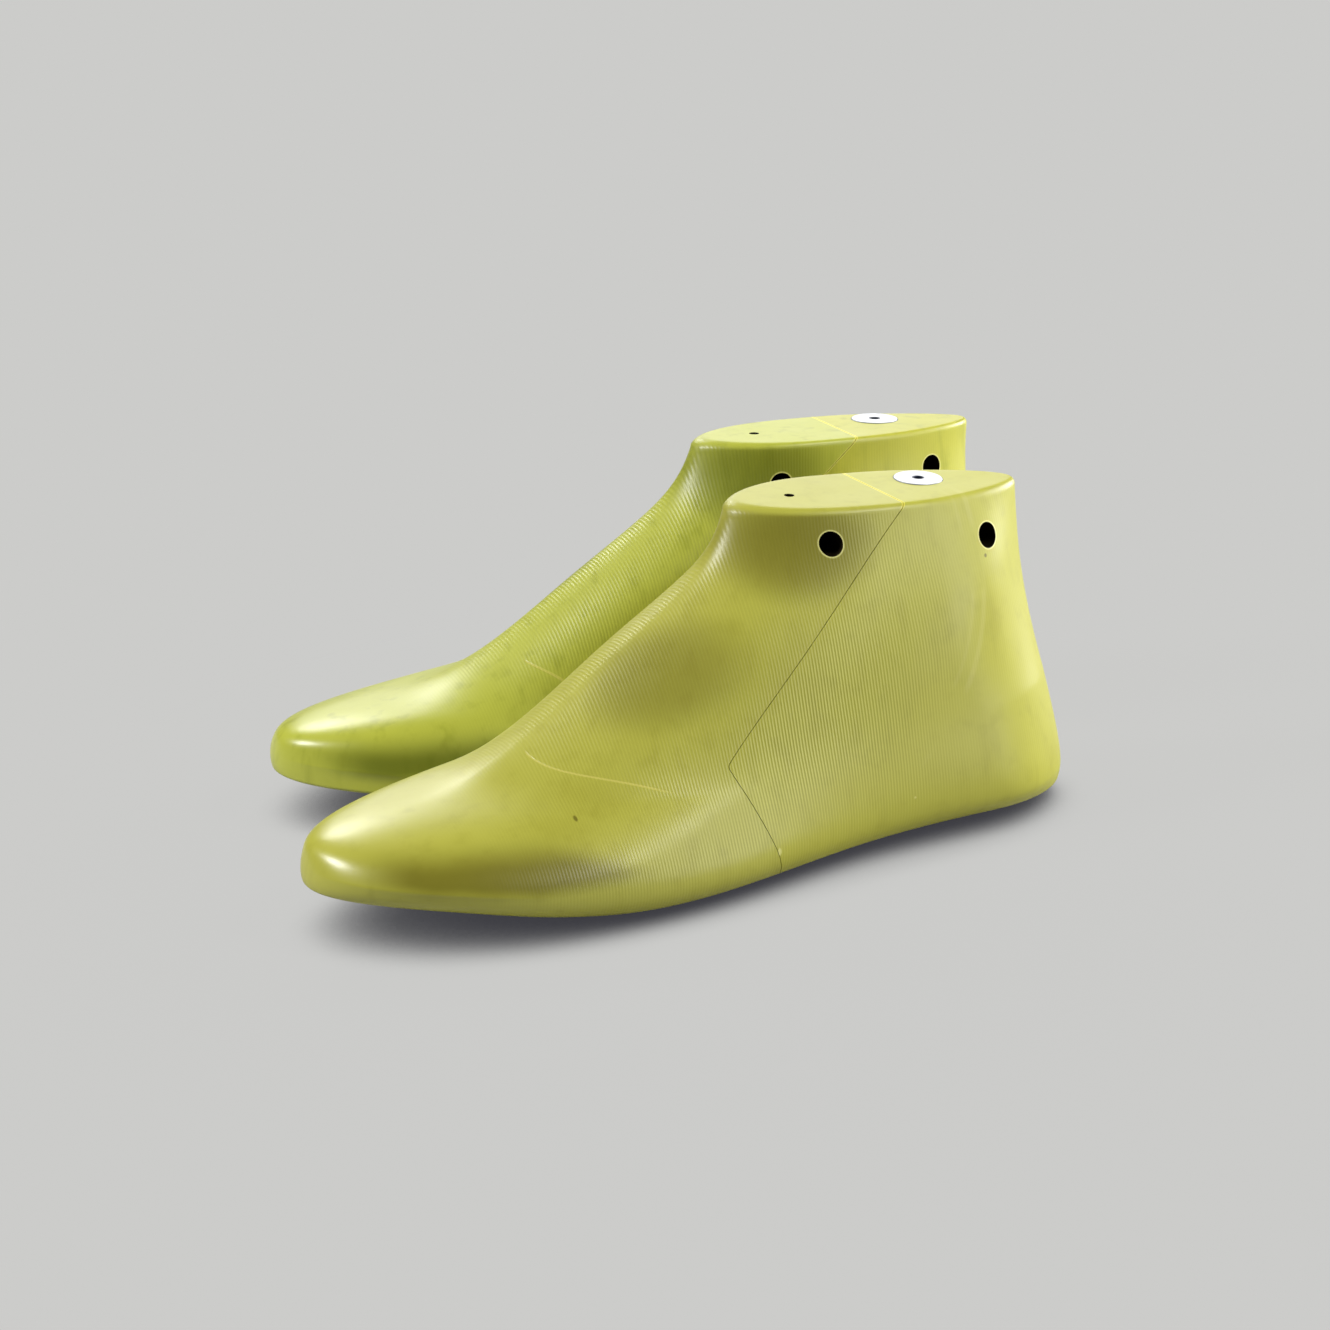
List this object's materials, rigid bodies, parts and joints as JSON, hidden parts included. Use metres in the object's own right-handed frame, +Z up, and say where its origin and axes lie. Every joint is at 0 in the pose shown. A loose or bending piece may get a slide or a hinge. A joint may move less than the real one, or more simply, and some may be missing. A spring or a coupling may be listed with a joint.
{
  "type": "cobbler last",
  "caption": "Left and right hinged shoe lasts in turned plastic, each sawn across at a slant and folding on a pinned steel link, with a steel bush in the top plate and cross holes.",
  "frame": {"origin": "centre of the base of the bounding box, on the floor between the two lasts", "axes": "+X towards the heels, toes at -X, the left last at -Y and the right last at +Y, +Z up"},
  "size_m": [0.2954, 0.2002, 0.1175],
  "materials": {
    "last_plastic": "satin, with fine turning lines",
    "plug_plastic": "trimmed flush",
    "bush_steel": "faced bright",
    "link_steel": "plain",
    "pin_steel": "ground",
    "spring_steel": "plain wire"
  },
  "bodies": {
    "foreparts": {"left_forepart": "last_plastic", "left_hinge_link": "link_steel", "left_rear_link_pin": "pin_steel", "left_front_link_pin": "pin_steel", "left_rear_link_pin_plug": "plug_plastic", "left_front_link_pin_plug": "plug_plastic", "right_forepart": "last_plastic", "right_hinge_link": "link_steel", "right_rear_link_pin": "pin_steel", "right_front_link_pin": "pin_steel", "right_rear_link_pin_plug": "plug_plastic", "right_front_link_pin_plug": "plug_plastic"},
    "left_heel": {"left_heel_part": "last_plastic", "left_hinge_pin": "pin_steel", "left_hinge_pin_plug": "plug_plastic", "left_detent_plunger": "pin_steel", "left_detent_spring": "spring_steel", "left_jack_bush": "bush_steel"},
    "right_heel": {"right_heel_part": "last_plastic", "right_hinge_pin": "pin_steel", "right_hinge_pin_plug": "plug_plastic", "right_detent_plunger": "pin_steel", "right_detent_spring": "spring_steel", "right_jack_bush": "bush_steel"}
  },
  "joints": [
    {"name": "left_fold", "type": "hinge", "parent": "foreparts", "child": "left_heel", "pos_m": [0.00945, -0.04725, 0.0123], "axis": [-0.1564, 0.9877, 0], "range_deg": [0, 20]},
    {"name": "right_fold", "type": "hinge", "parent": "foreparts", "child": "right_heel", "pos_m": [0.03155, 0.04725, 0.0123], "axis": [0.0436, 0.999, 0], "range_deg": [0, 20]}
  ]
}
